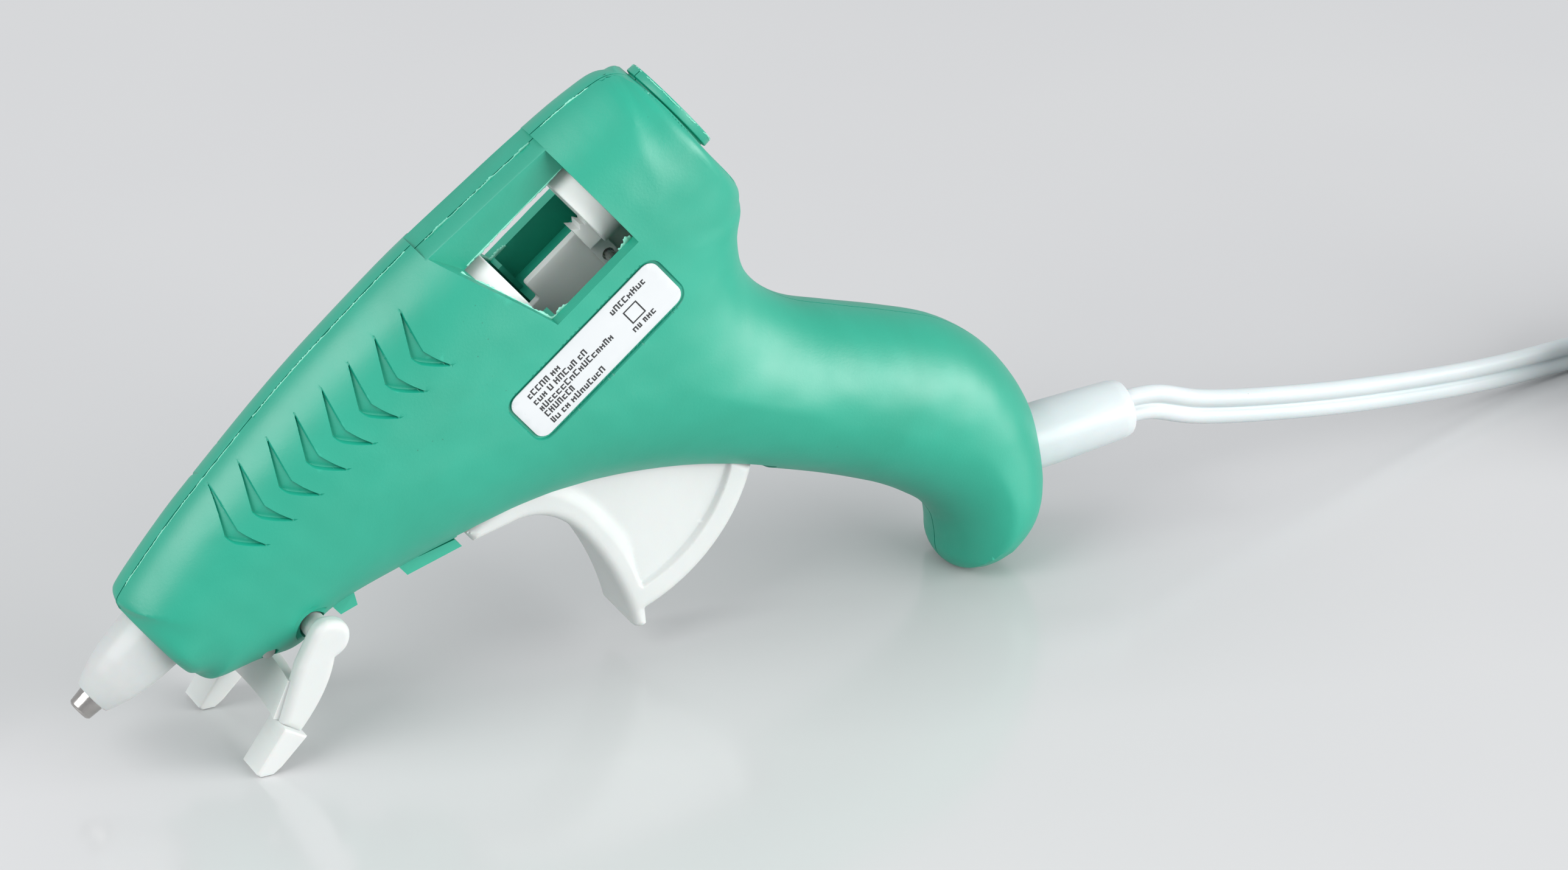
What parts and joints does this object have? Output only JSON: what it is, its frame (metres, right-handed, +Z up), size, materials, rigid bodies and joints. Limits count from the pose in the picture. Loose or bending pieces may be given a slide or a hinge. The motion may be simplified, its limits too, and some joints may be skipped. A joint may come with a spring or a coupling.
{
  "type": "glue gun",
  "caption": "Small hot-melt glue gun with a squeeze trigger, a stick window and a fold-out stand, resting nose-down on the stand and its heel, with a flat power lead and plug.",
  "frame": {"origin": "centre of the bounding box of the gun and its stand without the lead, at the level of the surface it rests on", "axes": "+X from the nozzle towards the handle's heel and the lead, +Y across the gun to its right side, +Z up"},
  "size_m": [0.3592, 0.0458, 0.0896],
  "materials": {
    "shell": "moulded mint-green ABS with a fine satin grain",
    "white_plastic": "moulded off-white nylon, satin",
    "screw_steel": "zinc-plated",
    "nozzle_metal": "turned, plain",
    "silicone": "milky silicone rubber, satin",
    "aluminium": "die-cast",
    "ceramic": "unglazed",
    "spring_steel": "plain wire",
    "brass": "rolled sheet",
    "lead": "soft translucent white PVC",
    "label": "printed with plain bars, laminated"
  },
  "bodies": {
    "gun": {"shell_left": "shell", "shell_right": "shell", "shell_screw_1": "screw_steel", "shell_screw_2": "screw_steel", "shell_screw_3": "screw_steel", "shell_screw_4": "screw_steel", "nozzle_tip": "nozzle_metal", "nozzle_sleeve": "silicone", "feed_sleeve": "silicone", "melt_chamber": "aluminium", "heating_element": "ceramic", "heater_clip": "spring_steel", "trigger_spring": "spring_steel", "trigger_pin": "spring_steel", "stick_guide": "white_plastic", "cord_clamp": "white_plastic", "cord_tie": "white_plastic", "crimp_1": "brass", "crimp_2": "brass", "plug_blade_1": "brass", "plug_blade_2": "brass", "label": "label", "lead_wire_1": "lead", "lead_wire_2": "lead", "strain_relief": "lead", "cord_inner": "lead", "cord": "lead", "cord_hank": "lead", "cord_tail": "lead", "plug_body": "lead"},
    "trigger": {"trigger": "white_plastic"},
    "feed_carrier": {"feed_carrier": "white_plastic", "jaw_pin": "spring_steel"},
    "gripper_jaw": {"gripper_jaw": "white_plastic"},
    "stand": {"stand": "white_plastic"}
  },
  "joints": [
    {"name": "trigger_squeeze", "type": "hinge", "parent": "gun", "child": "trigger", "pos_m": [-0.00809, 0, 0.03371], "axis": [0, -1, 0], "range_deg": [0, 20], "stiffness_Nm_per_rad": 0.15, "springref_deg": -17.19},
    {"name": "carrier_feed", "type": "slide", "parent": "gun", "child": "feed_carrier", "axis": [-0.7798, 0, -0.6261], "range_m": [0, 0.0062]},
    {"name": "jaw_bite", "type": "hinge", "parent": "feed_carrier", "child": "gripper_jaw", "pos_m": [-0.00107, 0, 0.06282], "axis": [0, -1, 0], "range_deg": [0, 8.1]},
    {"name": "stand_fold", "type": "hinge", "parent": "gun", "child": "stand", "pos_m": [-0.05007, 0, 0.0186], "axis": [0, -1, 0], "range_deg": [0, 108]}
  ],
  "couplings": [
    {"joint": "carrier_feed", "follows": "trigger_squeeze", "m_per_rad": 0.0174},
    {"joint": "jaw_bite", "follows": "trigger_squeeze", "ratio": 0.4}
  ]
}
